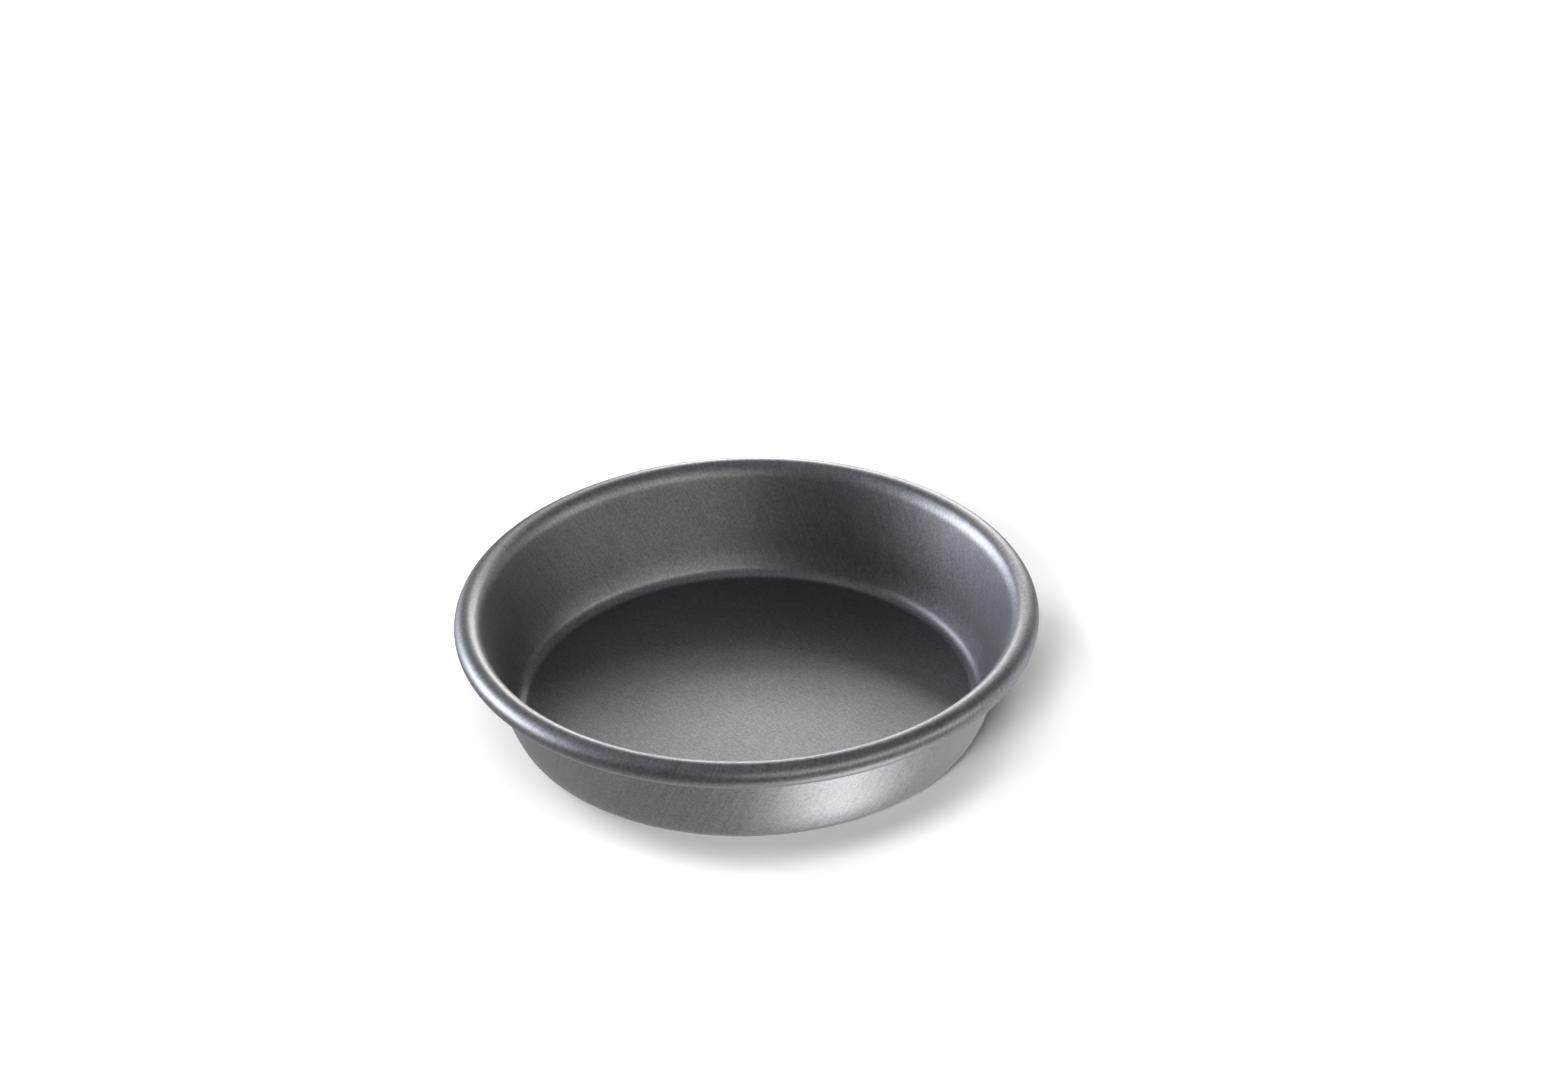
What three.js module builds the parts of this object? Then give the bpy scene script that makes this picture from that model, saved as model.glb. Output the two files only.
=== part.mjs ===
// A round, deep pizza pan: one drawn aluminium sheet whose rim is rolled round a steel wire.
// Millimetres, +Z up. The origin is the centre of the underside, so the pan stands on Z = 0.
import * as THREE from "three";

// Driving dimensions of the sheet
const RIM_RADIUS = 97.5; // outermost point of the rolled rim
const PAN_HEIGHT = 40.3; // underside to the top of the rolled rim
const SHEET = 1.6; // thickness of the aluminium
const FLOOR_RADIUS = 74.6; // edge of the flat floor, where the corner starts to rise
const CORNER_RADIUS = 6.5; // outside of the corner between floor and wall
const CORNER_END = degrees(114); // where the corner ends, measured outwards from straight up
const HEEL_RADIUS = 50; // outside of the easier bend that leads the corner into the wall
const BEAD_RADIUS = 4.3; // outside of the rolled rim's round section
const LIP_RADIUS = 8; // easier bend that leads the wall into the rolled rim
const LIP_END = degrees(45); // where the easier bend ends, measured inwards from the top of the rim
const CURL_GAP = 0.4; // the curl's cut edge stops this far short of the wall

// Driving dimensions of the wire
const WIRE_DIAMETER = 4.76; // 3/16 inch
const WIRE_END_GAP = 1; // between the two cut ends of the ring

// How finely the round shapes are divided
const TURN_STEPS = 80;
const ARC_STEP = degrees(22);
const WIRE_SIDES = 10;

// Finishes
const anodised = new THREE.MeshStandardMaterial({ color: 0x77787a, metalness: 1, roughness: 0.36 });
const bareSteel = new THREE.MeshStandardMaterial({ color: 0xb9b8b3, metalness: 1, roughness: 0.3 });

// The section's circles. Angles run clockwise from straight up, with the pan's axis on the left.
const beadCentre = new THREE.Vector2(RIM_RADIUS - BEAD_RADIUS, PAN_HEIGHT - BEAD_RADIUS);
const cornerCentre = new THREE.Vector2(FLOOR_RADIUS, CORNER_RADIUS);
const heelCentre = onCircle(cornerCentre, CORNER_RADIUS - HEEL_RADIUS, CORNER_END);
const lipCentre = onCircle(beadCentre, BEAD_RADIUS - LIP_RADIUS, -LIP_END);

// The wall is the straight line that leaves the heel's inside and runs into the lip on its other side.
const heelToLip = lipCentre.clone().sub(heelCentre);
const bothRadii = HEEL_RADIUS - SHEET + LIP_RADIUS;
const wallDraft = Math.atan2(heelToLip.x, heelToLip.y) - Math.asin(bothRadii / heelToLip.length());

// The curl runs on under the rim until its cut edge has only the gap left to the wall's outside.
const wallInwards = wallDraft - degrees(90);
const lipTurn = -LIP_END - wallInwards;
const beadToWall = LIP_RADIUS - SHEET - (LIP_RADIUS - BEAD_RADIUS) * Math.cos(lipTurn);
const curlEnd = degrees(360) + wallInwards - Math.acos((beadToWall - CURL_GAP) / BEAD_RADIUS);

function degrees(angle) {
  return THREE.MathUtils.degToRad(angle);
}

function onCircle(centre, radius, angle) {
  return new THREE.Vector2(Math.sin(angle), Math.cos(angle)).multiplyScalar(radius).add(centre);
}

function arc(centre, radius, from, to) {
  const steps = Math.ceil(Math.abs(to - from) / ARC_STEP);
  const points = [];
  for (let step = 0; step <= steps; step++) {
    points.push(onCircle(centre, radius, from + ((to - from) * step) / steps));
  }
  return points;
}

// One face of the sheet from the floor's centre to the curl's cut edge, at a depth below the baking face.
function sheetFace(depth) {
  const wallOutwards = wallDraft + degrees(90);
  return [
    new THREE.Vector2(0, SHEET - depth),
    ...arc(cornerCentre, CORNER_RADIUS - SHEET + depth, degrees(180), CORNER_END),
    ...arc(heelCentre, HEEL_RADIUS - SHEET + depth, CORNER_END, wallOutwards).slice(1),
    ...arc(lipCentre, LIP_RADIUS - depth, wallInwards, -LIP_END),
    ...arc(beadCentre, BEAD_RADIUS - depth, -LIP_END, curlEnd).slice(1),
  ];
}

function panShell() {
  const section = [...sheetFace(SHEET), ...sheetFace(0).reverse()];
  const geometry = new THREE.LatheGeometry(section, TURN_STEPS).rotateX(degrees(90));
  const mesh = new THREE.Mesh(geometry, anodised);
  mesh.name = "pan_shell";
  return mesh;
}

// The wire's centreline: a ring that is open by the gap between its cut ends.
class WireRing extends THREE.Curve {
  getPoint(along, target = new THREE.Vector3()) {
    const radius = beadCentre.x;
    const open = WIRE_END_GAP / radius;
    const turn = open / 2 + along * (degrees(360) - open);
    return target.set(radius * Math.cos(turn), radius * Math.sin(turn), 0);
  }
}

function rimWire() {
  const section = new THREE.Shape().absarc(0, 0, WIRE_DIAMETER / 2, 0, degrees(360));
  const geometry = new THREE.ExtrudeGeometry(section, {
    steps: TURN_STEPS,
    curveSegments: WIRE_SIDES / 2,
    extrudePath: new WireRing(),
  });
  const mesh = new THREE.Mesh(geometry, bareSteel);
  mesh.name = "rim_wire";
  mesh.position.z = beadCentre.y;
  return mesh;
}

const pan = new THREE.Group();
pan.add(panShell(), rimWire());
export default pan;
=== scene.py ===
"""A deep-dish pizza pan: drawn, hard-anodised aluminium sheet with its rim rolled round a steel wire."""

import math

import bpy
from mathutils import Matrix, Vector


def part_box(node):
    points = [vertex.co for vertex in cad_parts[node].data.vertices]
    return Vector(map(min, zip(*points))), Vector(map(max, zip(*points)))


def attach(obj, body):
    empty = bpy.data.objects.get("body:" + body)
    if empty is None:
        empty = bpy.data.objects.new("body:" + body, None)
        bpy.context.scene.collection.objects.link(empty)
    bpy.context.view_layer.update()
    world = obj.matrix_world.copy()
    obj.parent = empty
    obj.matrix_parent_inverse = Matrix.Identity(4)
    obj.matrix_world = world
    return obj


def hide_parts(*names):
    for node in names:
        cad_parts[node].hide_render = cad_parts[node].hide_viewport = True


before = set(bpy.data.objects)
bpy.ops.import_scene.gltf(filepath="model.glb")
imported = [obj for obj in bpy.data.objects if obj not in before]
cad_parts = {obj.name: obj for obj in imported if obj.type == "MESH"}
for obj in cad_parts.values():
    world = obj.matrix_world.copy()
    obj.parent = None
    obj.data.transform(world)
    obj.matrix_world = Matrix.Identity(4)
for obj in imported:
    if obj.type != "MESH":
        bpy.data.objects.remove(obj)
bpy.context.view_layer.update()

# Sizes of the sheet and the wire, in metres
MM = 0.001
SHELL_LOW, SHELL_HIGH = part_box("pan_shell")
RIM_RADIUS = (SHELL_HIGH.x - SHELL_LOW.x) / 2
PAN_HEIGHT = SHELL_HIGH.z
SHEET = 1.6 * MM
FLOOR_RADIUS = 74.6 * MM
CORNER_RADIUS = 6.5 * MM
CORNER_END = math.radians(114)
HEEL_RADIUS = 50 * MM
BEAD_RADIUS = 4.3 * MM
LIP_RADIUS = 8 * MM
LIP_END = math.radians(45)
CURL_GAP = 0.4 * MM
EDGE_ROUND = 0.25 * MM
WIRE_RADIUS = 4.76 / 2 * MM
WIRE_END_GAP = 1 * MM
WIRE_CHAMFER = 0.3 * MM

# How finely the round shapes are divided, and from which angle on the wire's edges are sharp
TURN_STEPS = 192
ARC_STEP = math.radians(6)
HEEL_ARC_STEP = math.radians(2)
EDGE_ARC_STEP = math.radians(22.5)
FLOOR_RINGS = 12
WALL_RINGS = 8
WIRE_SIDES = 20
WIRE_EDGE_ANGLE = math.radians(30)

# The camera, as solved from the ellipses of the photographed rim, floor and base
IMAGE_WIDTH = 1560
FOCAL_PIXELS = 3892
SENSOR_WIDTH = 36
CAMERA_DISTANCE = 1.3193
CAMERA_ELEVATION = math.radians(34.331)
CAMERA_PITCH = math.radians(31.964)
CAMERA_YAW = math.radians(-0.623)
CAMERA_ROLL = math.radians(-1.446)
CAMERA_REACH = 100

# What the metal reflects from afar: azimuth, elevation and spread in degrees, and red, green, blue strength
SOFT_BOXES = {
    "left": (-86.3, 9.8, 6.4, (16.1, 16.7, 18)),
    "back_left": (-66.4, 12.8, 8.8, (16.9, 18.2, 20.7)),
    "behind_left": (-34, 2, 8, (1.1, 1.1, 1.1)),
    "behind": (-12, 31, 5, (1.48, 1.5, 1.46)),
    "back": (20.9, 17, 9.4, (2.4, 2.4, 2.4)),
    "right_low": (67.2, -17.2, 19.2, (1.46, 1.51, 1.62)),
    "right": (103.5, 16.4, 5.3, (10.3, 10.3, 10.2)),
    "front_right": (138.1, 21.7, 6.5, (6.5, 6.4, 6.2)),
    "front": (168.6, 22.2, 7, (5, 4.8, 4.5)),
    "overhead": (-83.7, 81.8, 34.7, (0.42, 0.42, 0.47)),
    "table": (-11.7, -80.5, 41.7, (0.93, 0.93, 0.93)),
    "table_front_right": (126.3, -57, 10.4, (6.1, 6, 6.2)),
}

# Round panels close behind the pan, which the metal also reflects: middle in metres, and brightness
PANEL_SIZE = 0.12
PANELS = {
    "low": (0, 0.42, 0.15, 10.5),
    "low_right": (0.15, 0.42, 0.15, 11),
    "far": (0, 0.75, 0.27, 12.8),
    "high_right": (0.15, 0.75, 0.42, 8.3),
    "high_left": (-0.15, 0.75, 0.42, 1.6),
    "left": (-0.3, 0.24, 0.15, 1.5),
}

# The floor, and the suns that light it: azimuth, elevation and size in degrees, and share of its brightness
FLOOR_HALF = 3
FLOOR_COLOUR = (0.92, 0.92, 0.92, 1)
FLOOR_GLOW = 0.02
SUNS = {
    "low_front_left": (-159, 30, 18, 0.36),
    "high_front_left": (-144, 71, 22, 0.26),
    "left": (-77, 49, 20, 0.3),
    "right": (79, 71, 24, 0.19),
    "high_front_right": (137, 79, 22, 0.14),
}

# The anodised film: colours, roughness, and wear at the foot, over a share of the floor and the corner
FILM_COLOUR = (0.2, 0.2, 0.205)
BARE_COLOUR = (0.5, 0.5, 0.49)
FLOOR_ROUGHNESS = 0.36
WALL_ROUGHNESS = 0.48
BEAD_ROUGHNESS = 0.46
# Painted shade: how much darker the outside of the corner is painted; it fades out up the heel
CORNER_SHADE_TONE = 0.8
FOOT_WEAR = 0.35
FLOOR_WEAR_REACH = 0.2
CORNER_WEAR_REACH = 0.4

# Sizes of the film's marks
GRAIN_SIZE = 0.9 * MM
STREAK_WIDTH = 0.7 * MM
STREAK_LENGTH = 16 * MM
STREAK_TWIST = -math.radians(0.3) / MM
ROLLED_LENGTH = 5 * MM
ROLLING_TURN = -math.radians(30)
CLOUD_SIZE = 24 * MM
WEAR_SIZE = 4 * MM

# How strongly the marks show in the film
TONE_GRAIN, TONE_STREAKS, TONE_CLOUDS = 0.45, 0.25, 0.1
ROUGHNESS_GRAIN, ROUGHNESS_STREAKS = 0.05, 0.04
RELIEF_STREAKS = 0.5
FILM_RELIEF = 0.012 * MM
FILMED_PATCH, WORN_PATCH = -0.25, 0.35

# The wire's steel, and the marks that the drawing die left along it
STEEL_COLOUR = (0.49, 0.48, 0.45)
STEEL_ROUGHNESS = 0.3
DRAWN_WIDTH = 0.25 * MM
DRAWN_LENGTH = 30 * MM
STEEL_TONE_MARKS, STEEL_TONE_GRAIN = 0.25, 0.1
STEEL_ROUGHNESS_MARKS = 0.1
STEEL_RELIEF = 0.01 * MM

# First and last value of a finish, or of the painted shade on the outside corner, along the zones of the
# sheet where it isn't plain
ROUGHNESS = {"floor": (FLOOR_ROUGHNESS, FLOOR_ROUGHNESS), "corner": (FLOOR_ROUGHNESS, WALL_ROUGHNESS),
             "lip": (WALL_ROUGHNESS, BEAD_ROUGHNESS), "bead": (BEAD_ROUGHNESS, BEAD_ROUGHNESS)}
# Painted shade on the outside of the corner and heel, darkest at the corner
PAINTED_CORNER_SHADE = {"corner": (CORNER_SHADE_TONE, CORNER_SHADE_TONE), "heel": (CORNER_SHADE_TONE, 1)}
RUBBED = {"floor": (FOOT_WEAR - FOOT_WEAR / FLOOR_WEAR_REACH, FOOT_WEAR),
          "corner": (FOOT_WEAR, FOOT_WEAR - FOOT_WEAR / CORNER_WEAR_REACH)}


def on_circle(centre, radius, angle):
    """A point of the section, with the angle clockwise from straight up."""
    return Vector((centre.x + radius * math.sin(angle), centre.y + radius * math.cos(angle)))


def arc(centre, radius, start, end, largest_step=ARC_STEP):
    steps = math.ceil(abs(end - start) / largest_step)
    return [on_circle(centre, radius, start + (end - start) * i / steps) for i in range(steps + 1)]


def straight(start, end, steps):
    """Points between start and end, without either of them."""
    return [start.lerp(end, i / steps) for i in range(1, steps)]


# The section's circles, and the wall that runs between them
bead_centre = Vector((RIM_RADIUS - BEAD_RADIUS, PAN_HEIGHT - BEAD_RADIUS))
corner_centre = Vector((FLOOR_RADIUS, CORNER_RADIUS))
heel_centre = on_circle(corner_centre, CORNER_RADIUS - HEEL_RADIUS, CORNER_END)
lip_centre = on_circle(bead_centre, BEAD_RADIUS - LIP_RADIUS, -LIP_END)
heel_to_lip = lip_centre - heel_centre
both_radii = HEEL_RADIUS - SHEET + LIP_RADIUS
wall_draft = math.atan2(heel_to_lip.x, heel_to_lip.y) - math.asin(both_radii / heel_to_lip.length)
wall_inwards = wall_draft - math.pi / 2
wall_outwards = wall_draft + math.pi / 2
lip_turn = -LIP_END - wall_inwards
bead_to_wall = LIP_RADIUS - SHEET - (LIP_RADIUS - BEAD_RADIUS) * math.cos(lip_turn)
curl_end = 2 * math.pi + wall_inwards - math.acos((bead_to_wall - CURL_GAP) / BEAD_RADIUS)
edge_turn = curl_end - EDGE_ROUND / BEAD_RADIUS


def sheet_face(depth):
    """One face of the sheet in zones from the floor to the cut edge, at a depth below the baking face."""
    corner = arc(corner_centre, CORNER_RADIUS - SHEET + depth, math.pi, CORNER_END)
    heel = arc(heel_centre, HEEL_RADIUS - SHEET + depth, CORNER_END, wall_outwards, HEEL_ARC_STEP)[1:]
    lip = arc(lip_centre, LIP_RADIUS - depth, wall_inwards, -LIP_END)
    return {
        "floor": straight(Vector((0, SHEET - depth)), corner[0], FLOOR_RINGS),
        "corner": corner,
        "heel": heel,
        "wall": straight(heel[-1], lip[0], WALL_RINGS),
        "lip": lip,
        "bead": arc(bead_centre, BEAD_RADIUS - depth, -LIP_END, edge_turn)[1:],
    }


def points_of(face):
    return [point for zone in face.values() for point in zone]


def cut_edge():
    """The curl's cut edge with its two corners rounded, from the outer face of the rim to the inner one."""
    points = []
    for depth, start in ((EDGE_ROUND, edge_turn), (SHEET - EDGE_ROUND, edge_turn + math.pi / 2)):
        centre = on_circle(bead_centre, BEAD_RADIUS - depth, edge_turn)
        points += arc(centre, EDGE_ROUND, start, start + math.pi / 2, EDGE_ARC_STEP)
    return points[1:-1]


def add_piece(name, vertices, faces, node):
    """A mesh that stands for one node of the model and moves with it."""
    mesh = bpy.data.meshes.new(name)
    mesh.from_pydata(vertices, [], faces)
    mesh.validate()
    mesh.shade_smooth()
    piece = bpy.data.objects.new(name, mesh)
    bpy.context.collection.objects.link(piece)
    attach(piece, "root")
    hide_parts(node)
    return piece


def make_pan():
    """The sheet, turned from its section, and closed by a point on the axis below and above."""
    outside, edge, inside = points_of(sheet_face(SHEET)), cut_edge(), points_of(sheet_face(0))
    section = outside + edge[::-1] + inside[::-1]
    vertices = [(0, 0, section[0].y), (0, 0, section[-1].y)]
    for step in range(TURN_STEPS):
        turn = 2 * math.pi * step / TURN_STEPS
        vertices += [(p.x * math.cos(turn), p.x * math.sin(turn), p.y) for p in section]
    faces = []
    count = len(section)
    for step in range(TURN_STEPS):
        here = 2 + step * count
        there = 2 + (step + 1) % TURN_STEPS * count
        faces.append((0, there, here))
        faces += [(here + i, there + i, there + i + 1, here + i + 1) for i in range(count - 1)]
        faces.append((here + count - 1, there + count - 1, 1))
    pan = add_piece("anodised_pan", vertices, faces, "pan_shell")
    inner_roughness = ramps(sheet_face(0), ROUGHNESS, WALL_ROUGHNESS)[::-1]
    add_finish(pan.data, "roughness", [FLOOR_ROUGHNESS] * len(outside + edge) + inner_roughness)
    # Painted shade: the tone attribute darkens the outside corner and heel, and is plain elsewhere
    add_finish(pan.data, "tone", ramps(sheet_face(SHEET), PAINTED_CORNER_SHADE, 1) + [1] * len(edge + inside))
    foot_wear = ramps(sheet_face(SHEET), RUBBED, 0)
    add_finish(pan.data, "rubbed", foot_wear + [1] * len(edge) + [0] * len(inside))
    return pan


def add_finish(mesh, name, values):
    """A value for each ring of the turned sheet, for its materials to read."""
    finish = mesh.attributes.new(name, "FLOAT", "POINT")
    finish.data.foreach_set("value", [values[0], values[-1]] + values * TURN_STEPS)


def ramps(face, ends, plain):
    """A value for each point of a face, between the ends of its zone, or plain where the zone has none."""
    values = []
    for zone, points in face.items():
        first, last = ends.get(zone, (plain, plain))
        values += [first + (last - first) * i / len(points) for i in range(len(points))]
    return values


def make_wire():
    """The ring of wire inside the rim, open between its two cut and chamfered ends."""
    half_gap = WIRE_END_GAP / 2 / bead_centre.x
    chamfer = WIRE_CHAMFER / bead_centre.x
    first = half_gap + chamfer
    last = 2 * math.pi - first
    rings = [(half_gap, WIRE_RADIUS - WIRE_CHAMFER)]
    rings += [(first + (last - first) * i / TURN_STEPS, WIRE_RADIUS) for i in range(TURN_STEPS + 1)]
    rings.append((2 * math.pi - half_gap, WIRE_RADIUS - WIRE_CHAMFER))
    vertices = []
    for turn, radius in rings:
        for side in range(WIRE_SIDES):
            point = on_circle(bead_centre, radius, 2 * math.pi * side / WIRE_SIDES)
            vertices.append((point.x * math.cos(turn), point.x * math.sin(turn), point.y))
    faces = [tuple(range(WIRE_SIDES - 1, -1, -1))]
    for ring in range(len(rings) - 1):
        for side in range(WIRE_SIDES):
            here = ring * WIRE_SIDES + side
            beside = ring * WIRE_SIDES + (side + 1) % WIRE_SIDES
            faces.append((here, beside, beside + WIRE_SIDES, here + WIRE_SIDES))
    end = (len(rings) - 1) * WIRE_SIDES
    faces.append(tuple(range(end, end + WIRE_SIDES)))
    wire = add_piece("drawn_wire", vertices, faces, "rim_wire")
    wire.data.set_sharp_from_angle(angle=WIRE_EDGE_ANGLE)
    return wire


def make_camera():
    data = bpy.data.cameras.new("camera")
    data.sensor_fit = "HORIZONTAL"
    data.sensor_width = SENSOR_WIDTH
    data.lens = FOCAL_PIXELS / IMAGE_WIDTH * SENSOR_WIDTH
    data.clip_end = CAMERA_REACH
    camera = bpy.data.objects.new("camera", data)
    place = Vector((0, -math.cos(CAMERA_ELEVATION), math.sin(CAMERA_ELEVATION))) * CAMERA_DISTANCE
    turn = Matrix.Rotation(CAMERA_YAW, 4, "Z") @ Matrix.Rotation(math.pi / 2 - CAMERA_PITCH, 4, "X")
    camera.matrix_world = Matrix.Translation(place) @ turn @ Matrix.Rotation(CAMERA_ROLL, 4, "Z")
    bpy.context.collection.objects.link(camera)
    bpy.context.scene.camera = camera


def add_node(tree, kind, **settings):
    node = tree.nodes.new(kind)
    for name, value in settings.items():
        setattr(node, name, value)
    return node


def feed(tree, socket, value):
    """Links an output to a socket, or sets the socket to a plain value."""
    if isinstance(value, bpy.types.NodeSocket):
        tree.links.new(value, socket)
    else:
        socket.default_value = value


def number(tree, operation, *values):
    node = add_node(tree, "ShaderNodeMath", operation=operation)
    for socket, value in zip(node.inputs, values):
        feed(tree, socket, value)
    return node.outputs[0]


def vector(tree, operation, *values):
    node = add_node(tree, "ShaderNodeVectorMath", operation=operation)
    for socket, value in zip(node.inputs, values):
        feed(tree, socket, value)
    return node.outputs["Value" if operation in ("DOT_PRODUCT", "LENGTH") else "Vector"]


def joined(tree, x, y, z):
    node = add_node(tree, "ShaderNodeCombineXYZ")
    for socket, value in zip(node.inputs, (x, y, z)):
        feed(tree, socket, value)
    return node.outputs[0]


def scaled(tree, colour, factor):
    node = add_node(tree, "ShaderNodeVectorMath", operation="SCALE")
    feed(tree, node.inputs["Vector"], colour)
    feed(tree, node.inputs["Scale"], factor)
    return node.outputs["Vector"]


def new_group(name, inputs, outputs):
    """An empty node group with named sockets, given as name and kind."""
    tree = bpy.data.node_groups.new(name, "ShaderNodeTree")
    for socket, kind in inputs.items():
        tree.interface.new_socket(socket, in_out="INPUT", socket_type=kind)
    for socket, kind in outputs.items():
        tree.interface.new_socket(socket, in_out="OUTPUT", socket_type=kind)
    return tree, tree.nodes.new("NodeGroupInput").outputs, tree.nodes.new("NodeGroupOutput").inputs


def place_group(tree, group, **values):
    node = add_node(tree, "ShaderNodeGroup", node_tree=group)
    for name, value in values.items():
        feed(tree, node.inputs[name], value)
    return node.outputs


def towards(azimuth, elevation):
    """A direction: azimuth 0 is straight behind the pan and 90 is on its right."""
    across, up = math.radians(azimuth), math.radians(elevation)
    return Vector((math.sin(across) * math.cos(up), math.cos(across) * math.cos(up), math.sin(up)))


def soft_box_group():
    """The light that one soft box sends, brightest straight towards its middle."""
    inputs = {"View": "NodeSocketVector", "Middle": "NodeSocketVector"}
    inputs |= {"Tightness": "NodeSocketFloat", "Light": "NodeSocketColor"}
    tree, given, result = new_group("soft_box", inputs, {"Light": "NodeSocketColor"})
    aside = number(tree, "SUBTRACT", vector(tree, "DOT_PRODUCT", given["View"], given["Middle"]), 1)
    glow = number(tree, "EXPONENT", number(tree, "MULTIPLY", aside, given["Tightness"]))
    feed(tree, result["Light"], scaled(tree, given["Light"], glow))
    return tree


def make_world():
    """The studio that the metal reflects. The camera sees plain white, and lamps light the floor."""
    world = bpy.data.worlds.new("studio")
    world.use_nodes = True
    world.cycles_visibility.diffuse = False
    tree = world.node_tree
    background = tree.nodes["Background"]
    view = tree.nodes.new("ShaderNodeTexCoord").outputs["Generated"]
    group = soft_box_group()
    light = (0, 0, 0)
    for azimuth, elevation, spread, strengths in SOFT_BOXES.values():
        tightness = 1 / math.radians(spread) ** 2
        box = place_group(tree, group, View=view, Middle=towards(azimuth, elevation),
                          Tightness=tightness, Light=(*strengths, 1))
        light = vector(tree, "ADD", light, box["Light"])
    feed(tree, background.inputs["Color"], light)
    white = add_node(tree, "ShaderNodeBackground")
    white.inputs["Color"].default_value = (1, 1, 1, 1)
    mix = tree.nodes.new("ShaderNodeMixShader")
    feed(tree, mix.inputs["Fac"], tree.nodes.new("ShaderNodeLightPath").outputs["Is Camera Ray"])
    feed(tree, mix.inputs[1], background.outputs[0])
    feed(tree, mix.inputs[2], white.outputs[0])
    feed(tree, tree.nodes["World Output"].inputs["Surface"], mix.outputs[0])
    bpy.context.scene.world = world


def add_lamp(data, place):
    """A lamp that faces the pan and that the camera doesn't see."""
    lamp = bpy.data.objects.new(data.name, data)
    lamp.location = place
    lamp.rotation_euler = place.to_track_quat("Z", "Y").to_euler()
    lamp.visible_camera = False
    bpy.context.collection.objects.link(lamp)
    return lamp


def make_lamps():
    """The panels that only the metal reflects, and the suns that light only the floor."""
    for name, (x, y, z, brightness) in PANELS.items():
        panel = bpy.data.lights.new(name + "_panel", "AREA")
        panel.shape = "DISK"
        panel.size = PANEL_SIZE
        panel_area = math.pi * (PANEL_SIZE / 2) ** 2
        panel.energy = brightness * math.pi * panel_area
        add_lamp(panel, Vector((x, y, z))).visible_diffuse = False
    for name, (azimuth, elevation, size, share) in SUNS.items():
        sun = bpy.data.lights.new(name + "_sun", "SUN")
        sun.energy = share * math.pi / FLOOR_COLOUR[0] / math.sin(math.radians(elevation))
        sun.angle = math.radians(size)
        add_lamp(sun, towards(azimuth, elevation)).visible_glossy = False


def make_floor():
    """A pale sheet that shows the pan's shadow. The metal looks past it into the light from below."""
    corners = [(-FLOOR_HALF, -FLOOR_HALF, 0), (FLOOR_HALF, -FLOOR_HALF, 0)]
    corners += [(FLOOR_HALF, FLOOR_HALF, 0), (-FLOOR_HALF, FLOOR_HALF, 0)]
    mesh = bpy.data.meshes.new("floor")
    mesh.from_pydata(corners, [], [(0, 1, 2, 3)])
    floor = bpy.data.objects.new("floor", mesh)
    floor.visible_glossy = False
    floor.visible_shadow = False
    bpy.context.collection.objects.link(floor)
    material = bpy.data.materials.new("pale_floor")
    material.use_nodes = True
    tree = material.node_tree
    tree.nodes.remove(tree.nodes["Principled BSDF"])
    matte = tree.nodes.new("ShaderNodeBsdfDiffuse")
    matte.inputs["Color"].default_value = FLOOR_COLOUR
    glow = tree.nodes.new("ShaderNodeEmission")
    camera_ray = tree.nodes.new("ShaderNodeLightPath").outputs["Is Camera Ray"]
    feed(tree, glow.inputs["Strength"], number(tree, "MULTIPLY", camera_ray, FLOOR_GLOW))
    both = tree.nodes.new("ShaderNodeAddShader")
    feed(tree, both.inputs[0], matte.outputs[0])
    feed(tree, both.inputs[1], glow.outputs[0])
    feed(tree, tree.nodes["Material Output"].inputs["Surface"], both.outputs[0])
    mesh.materials.append(material)


def fine_grain_group():
    """Speckles of about a given size, from -1 to 1."""
    inputs = {"Place": "NodeSocketVector", "Size": "NodeSocketFloat"}
    tree, given, result = new_group("fine_grain", inputs, {"Grain": "NodeSocketFloat"})
    noise = add_node(tree, "ShaderNodeTexNoise")
    feed(tree, noise.inputs["Vector"], given["Place"])
    feed(tree, noise.inputs["Scale"], number(tree, "DIVIDE", 1, given["Size"]))
    feed(tree, result["Grain"], number(tree, "MULTIPLY_ADD", noise.outputs["Fac"], 2, -1))
    return tree


def long_grain_group():
    """Streaks of a given width and length that run along the place's third axis, from -1 to 1."""
    inputs = {"Place": "NodeSocketVector", "Width": "NodeSocketFloat", "Length": "NodeSocketFloat"}
    tree, given, result = new_group("long_grain", inputs, {"Streaks": "NodeSocketFloat"})
    size = joined(tree, given["Width"], given["Width"], given["Length"])
    noise = add_node(tree, "ShaderNodeTexNoise")
    feed(tree, noise.inputs["Vector"], vector(tree, "DIVIDE", given["Place"], size))
    noise.inputs["Scale"].default_value = 1
    feed(tree, result["Streaks"], number(tree, "MULTIPLY_ADD", noise.outputs["Fac"], 2, -1))
    return tree


def add_grain(tree, fine_grain, place, size):
    return place_group(tree, fine_grain, Place=place, Size=size)["Grain"]


def add_streaks(tree, long_grain, place, width, length):
    return place_group(tree, long_grain, Place=place, Width=width, Length=length)["Streaks"]


def parts_of(tree, place):
    node = add_node(tree, "ShaderNodeSeparateXYZ")
    feed(tree, node.inputs[0], place)
    return node.outputs["X"], node.outputs["Y"], node.outputs["Z"]


def turned(tree, place, angle):
    """A place turned about the pan's axis."""
    node = add_node(tree, "ShaderNodeVectorRotate", rotation_type="Z_AXIS")
    feed(tree, node.inputs["Vector"], place)
    feed(tree, node.inputs["Angle"], angle)
    return node.outputs[0]


def ramp(tree, value, low, high):
    """A value's range from low to high, mapped to the range from 0 to 1."""
    node = add_node(tree, "ShaderNodeMapRange")
    feed(tree, node.inputs["Value"], value)
    node.inputs["From Min"].default_value = low
    node.inputs["From Max"].default_value = high
    return node.outputs[0]


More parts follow.
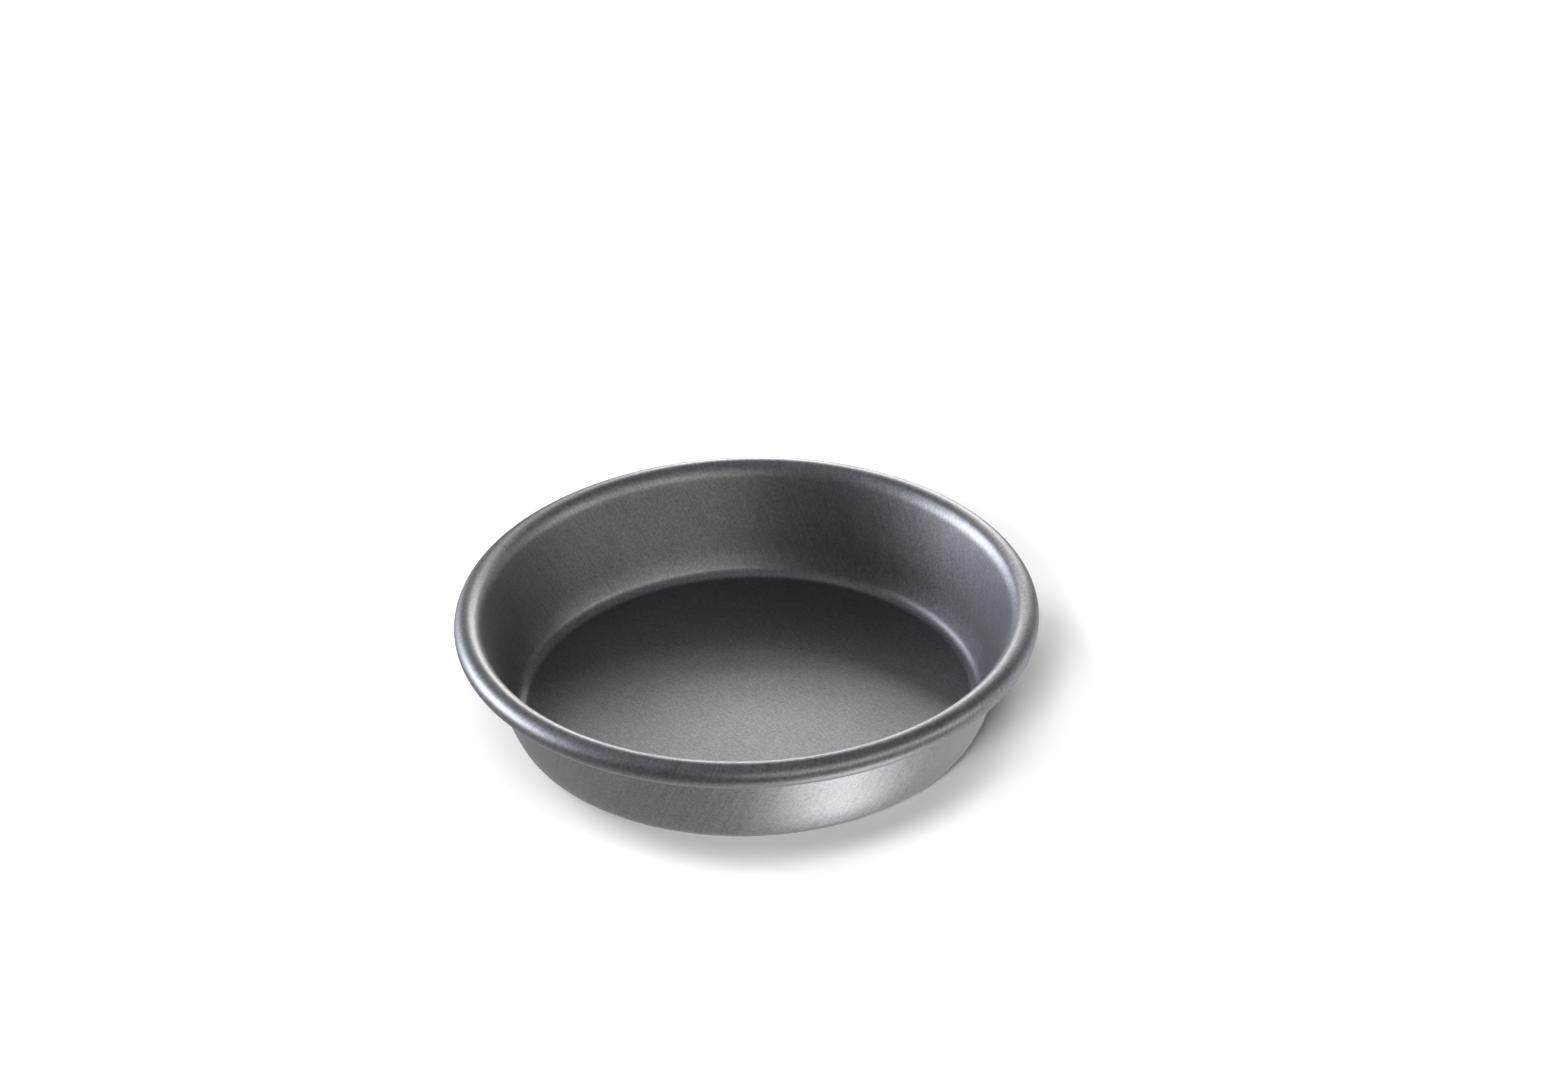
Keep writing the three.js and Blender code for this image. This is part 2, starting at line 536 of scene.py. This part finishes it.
def summed(tree, base, *shares):
    """A base value with shares of other values added, each given with its weight."""
    for value, weight in shares:
        base = number(tree, "MULTIPLY_ADD", value, weight, base)
    return base


def attribute(tree, name):
    return add_node(tree, "ShaderNodeAttribute", attribute_name=name).outputs["Fac"]


def blend(tree, factor, first, second):
    """One colour or the other, by a factor from 0 to 1, through the mix node's vector sockets."""
    node = add_node(tree, "ShaderNodeMix", data_type="VECTOR")
    feed(tree, node.inputs["Factor"], factor)
    feed(tree, node.inputs[4], first)
    feed(tree, node.inputs[5], second)
    return node.outputs[1]


def add_bump(tree, shader, height, depth):
    bump = add_node(tree, "ShaderNodeBump")
    bump.inputs["Distance"].default_value = depth
    feed(tree, bump.inputs["Height"], height)
    feed(tree, shader.inputs["Normal"], bump.outputs[0])


def new_metal(name):
    material = bpy.data.materials.new(name)
    material.use_nodes = True
    shader = material.node_tree.nodes["Principled BSDF"]
    shader.inputs["Metallic"].default_value = 1
    return material, material.node_tree, shader


def anodised_film(fine_grain, long_grain):
    """Dark grey film: speckled, streaked up the wall and along the rolled floor, rubbed at the foot, and
    with painted shade on the outside corner.
    """
    material, tree, shader = new_metal("anodised_film")
    place = tree.nodes.new("ShaderNodeTexCoord").outputs["Object"]
    x, y, z = parts_of(tree, place)
    flat = joined(tree, x, y, 0)
    round_place = vector(tree, "NORMALIZE", turned(tree, flat, number(tree, "MULTIPLY", z, STREAK_TWIST)))
    wall_place = vector(tree, "ADD", scaled(tree, round_place, RIM_RADIUS), joined(tree, 0, 0, z))
    across, along, _ = parts_of(tree, turned(tree, flat, ROLLING_TURN))
    floor_place = joined(tree, across, 0, along)
    streaks = add_streaks(tree, long_grain, wall_place, STREAK_WIDTH, STREAK_LENGTH)
    rolled_streaks = add_streaks(tree, long_grain, floor_place, STREAK_WIDTH, ROLLED_LENGTH)
    on_wall = ramp(tree, vector(tree, "LENGTH", flat), FLOOR_RADIUS, FLOOR_RADIUS + CORNER_RADIUS)
    difference = number(tree, "SUBTRACT", streaks, rolled_streaks)
    streaks = number(tree, "MULTIPLY_ADD", difference, on_wall, rolled_streaks)
    grain = add_grain(tree, fine_grain, place, GRAIN_SIZE)
    clouds = add_grain(tree, fine_grain, place, CLOUD_SIZE)
    patches = ramp(tree, add_grain(tree, fine_grain, place, WEAR_SIZE), FILMED_PATCH, WORN_PATCH)
    worn = number(tree, "MULTIPLY", attribute(tree, "rubbed"), patches)
    shading = (grain, TONE_GRAIN), (streaks, TONE_STREAKS), (clouds, TONE_CLOUDS)
    # The tone attribute holds painted shade on the outside corner and heel; grain, streaks and clouds vary
    # it at random
    tone = summed(tree, attribute(tree, "tone"), *shading)
    feed(tree, shader.inputs["Base Color"], blend(tree, worn, scaled(tree, FILM_COLOUR, tone), BARE_COLOUR))
    open_grain = (grain, ROUGHNESS_GRAIN), (streaks, ROUGHNESS_STREAKS)
    feed(tree, shader.inputs["Roughness"], summed(tree, attribute(tree, "roughness"), *open_grain))
    add_bump(tree, shader, summed(tree, grain, (streaks, RELIEF_STREAKS)), FILM_RELIEF)
    return material


def drawn_steel(fine_grain, long_grain):
    """Bare wire with fine marks along it from the drawing die."""
    material, tree, shader = new_metal("drawn_steel")
    place = tree.nodes.new("ShaderNodeTexCoord").outputs["Object"]
    x, y, z = parts_of(tree, place)
    out_from_axis = vector(tree, "LENGTH", joined(tree, x, y, 0))
    # The turn is measured from the side across from the gap, so that its jump falls in the gap
    turn = number(tree, "ARCTAN2", number(tree, "MULTIPLY", y, -1), number(tree, "MULTIPLY", x, -1))
    along = number(tree, "MULTIPLY", turn, bead_centre.x)
    marks = add_streaks(tree, long_grain, joined(tree, out_from_axis, z, along), DRAWN_WIDTH, DRAWN_LENGTH)
    grain = add_grain(tree, fine_grain, place, GRAIN_SIZE)
    tone = summed(tree, 1, (marks, STEEL_TONE_MARKS), (grain, STEEL_TONE_GRAIN))
    feed(tree, shader.inputs["Base Color"], scaled(tree, STEEL_COLOUR, tone))
    feed(tree, shader.inputs["Roughness"], summed(tree, STEEL_ROUGHNESS, (marks, STEEL_ROUGHNESS_MARKS)))
    add_bump(tree, shader, marks, STEEL_RELIEF)
    return material


bpy.context.scene.view_settings.view_transform = "Standard"
make_camera()
make_floor()
make_world()
make_lamps()
pan = make_pan()
wire = make_wire()
grains = fine_grain_group(), long_grain_group()
pan.data.materials.append(anodised_film(*grains))
wire.data.materials.append(drawn_steel(*grains))
